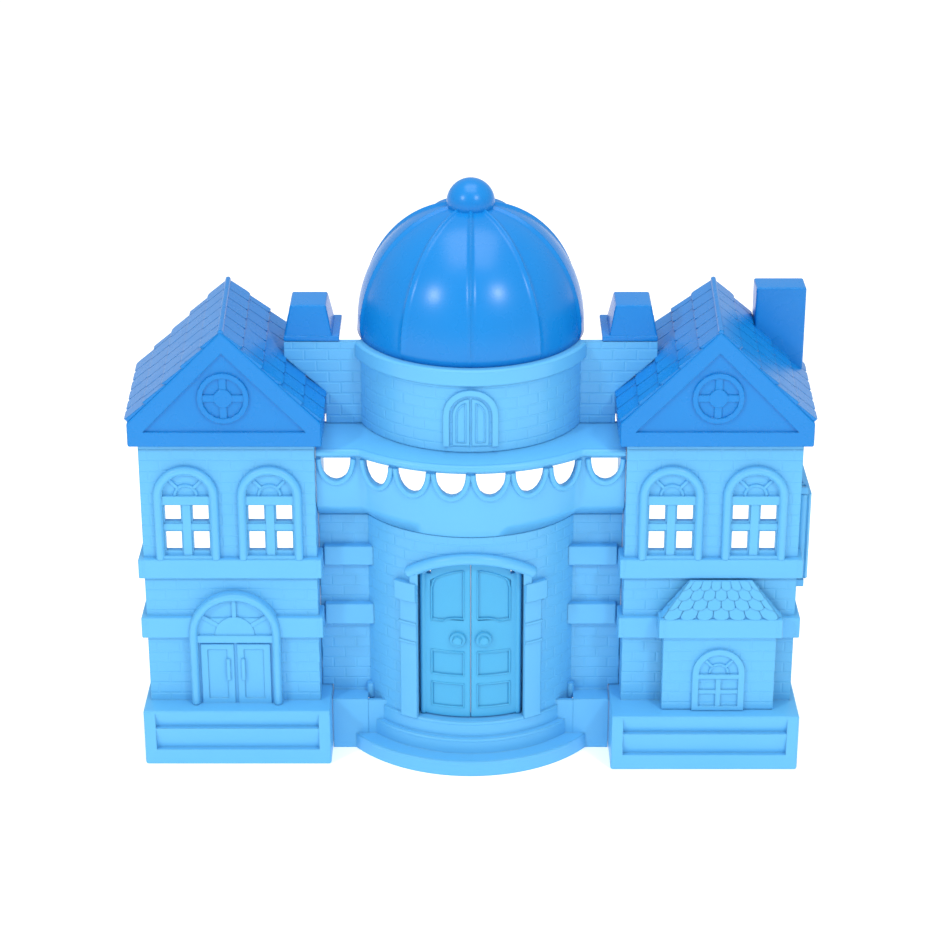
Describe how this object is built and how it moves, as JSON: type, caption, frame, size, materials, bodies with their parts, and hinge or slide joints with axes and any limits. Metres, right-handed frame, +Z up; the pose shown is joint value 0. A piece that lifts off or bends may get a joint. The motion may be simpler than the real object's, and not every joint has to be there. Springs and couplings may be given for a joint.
{
  "type": "toy castle front",
  "caption": "Open-backed toy castle front: two gabled wings, a domed tower with a balcony, swinging double doors and a side latch.",
  "frame": {"origin": "on the ground, at the middle of the castle's width and depth", "axes": "+X to the viewer's right along the front, +Y towards the open back, +Z up"},
  "size_m": [0.336, 0.096, 0.2891],
  "materials": {
    "light_blue_plastic": "satin",
    "dark_blue_plastic": "satin",
    "door_blue_plastic": "satin",
    "screw_steel": "zinc plated"
  },
  "bodies": {
    "castle": {"balcony": "light_blue_plastic", "bay_window": "light_blue_plastic", "centre_shell": "light_blue_plastic", "dome": "dark_blue_plastic", "latch_pin": "screw_steel", "left_balcony_screw": "screw_steel", "left_deck_screw": "screw_steel", "left_dome_screw": "screw_steel", "left_gable_roof": "dark_blue_plastic", "left_roof_deck": "dark_blue_plastic", "left_roof_screw_inner": "screw_steel", "left_roof_screw_outer": "screw_steel", "left_wall_screw_high": "screw_steel", "left_wall_screw_low": "screw_steel", "left_wing_shell": "light_blue_plastic", "right_balcony_screw": "screw_steel", "right_deck_screw": "screw_steel", "right_dome_screw": "screw_steel", "right_gable_roof": "dark_blue_plastic", "right_roof_deck": "dark_blue_plastic", "right_roof_screw_inner": "screw_steel", "right_roof_screw_outer": "screw_steel", "right_wall_screw_high": "screw_steel", "right_wall_screw_low": "screw_steel", "right_wing_shell": "light_blue_plastic", "upper_drum": "light_blue_plastic"},
    "left_door": {"left_door": "door_blue_plastic"},
    "right_door": {"right_door": "door_blue_plastic"},
    "latch": {"side_latch": "light_blue_plastic"}
  },
  "joints": [
    {"name": "left_door_hinge", "type": "hinge", "parent": "castle", "child": "left_door", "pos_m": [-0.0236, -0.02651, 0.0253], "axis": [0, 0, 1], "range_deg": [-55, 0]},
    {"name": "right_door_hinge", "type": "hinge", "parent": "castle", "child": "right_door", "pos_m": [0.0236, -0.02651, 0.0253], "axis": [0, 0, 1], "range_deg": [0, 55]},
    {"name": "latch_hinge", "type": "hinge", "parent": "castle", "child": "latch", "pos_m": [0.164, -0.01, 0.0925], "axis": [0, 0, 1], "range_deg": [-100, 0]}
  ]
}
